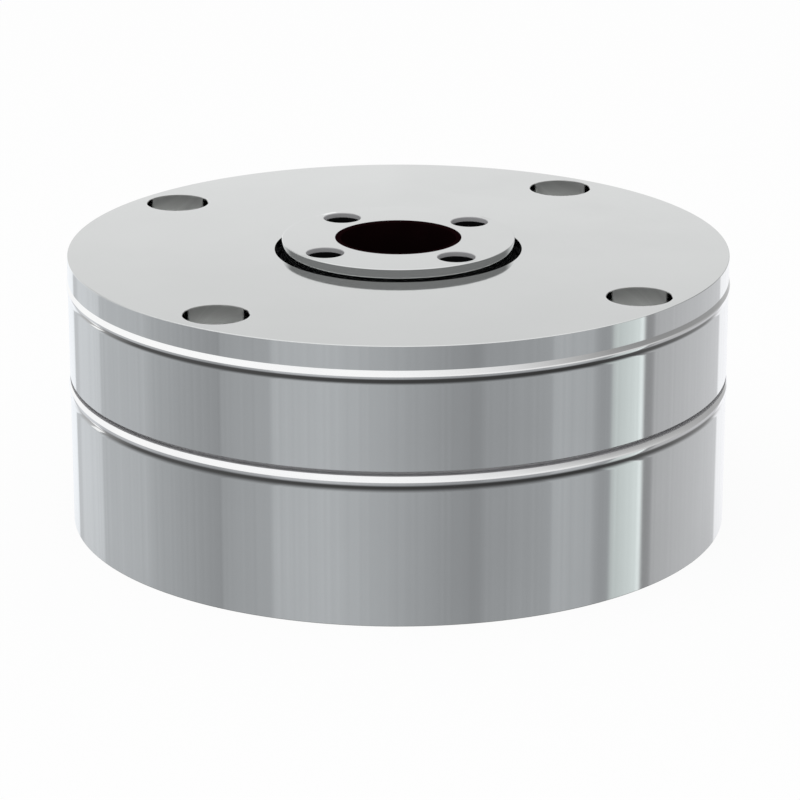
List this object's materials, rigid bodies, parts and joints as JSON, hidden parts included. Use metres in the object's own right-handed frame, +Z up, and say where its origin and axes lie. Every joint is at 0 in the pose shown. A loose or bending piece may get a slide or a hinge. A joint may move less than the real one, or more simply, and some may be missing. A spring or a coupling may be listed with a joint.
{
  "type": "three-axis force sensor",
  "caption": "Round steel force sensor for three axes: stacked polished sections with seam rings, a raised loading hub with threads and a lined bore, and mounting holes through the rim.",
  "frame": {"origin": "centre of the mounting hole circle on the base's resting face", "axes": "+Z up along the load axis towards the hub's face, +Y towards the connector at the back, +X along a cross beam to the right seen from the front"},
  "size_m": [0.1156, 0.127, 0.0499],
  "materials": {
    "polished_steel": "fine turned and polished",
    "ring_steel": "bright polished",
    "black_anodised": "black hard anodised",
    "seal_rubber": "matte",
    "fastener_steel": "plain stainless",
    "gauge_film": "polyimide film",
    "terminal_copper": "tinned copper",
    "board_laminate": "solder mask",
    "chip_plastic": "moulded",
    "nickel_brass": "nickel plated",
    "insert_plastic": "moulded",
    "contact_gold": "gold plated",
    "lead_sheath": "smooth"
  },
  "bodies": {
    "root": {"top_cover": "polished_steel", "upper_seam_ring": "ring_steel", "flexure_body": "polished_steel", "lower_seam_ring": "ring_steel", "base_housing": "polished_steel", "bottom_cover": "polished_steel", "bore_liner": "black_anodised", "gap_seal": "seal_rubber", "cover_o_ring": "seal_rubber", "base_o_ring": "seal_rubber", "bottom_o_ring": "seal_rubber", "liner_o_ring": "seal_rubber", "stack_screws": "fastener_steel", "bottom_screws": "fastener_steel", "dowel_pins": "fastener_steel", "x_force_gauges": "gauge_film", "y_force_gauges": "gauge_film", "z_force_gauges": "gauge_film", "terminal_pads": "terminal_copper", "flex_leads": "gauge_film", "circuit_board": "board_laminate", "amplifier_chips": "chip_plastic", "board_standoffs": "nickel_brass", "board_screws": "fastener_steel", "connector_shell": "nickel_brass", "connector_insert": "insert_plastic", "connector_pins": "contact_gold", "connector_o_ring": "seal_rubber", "connector_lead": "lead_sheath"}
  },
  "joints": []
}
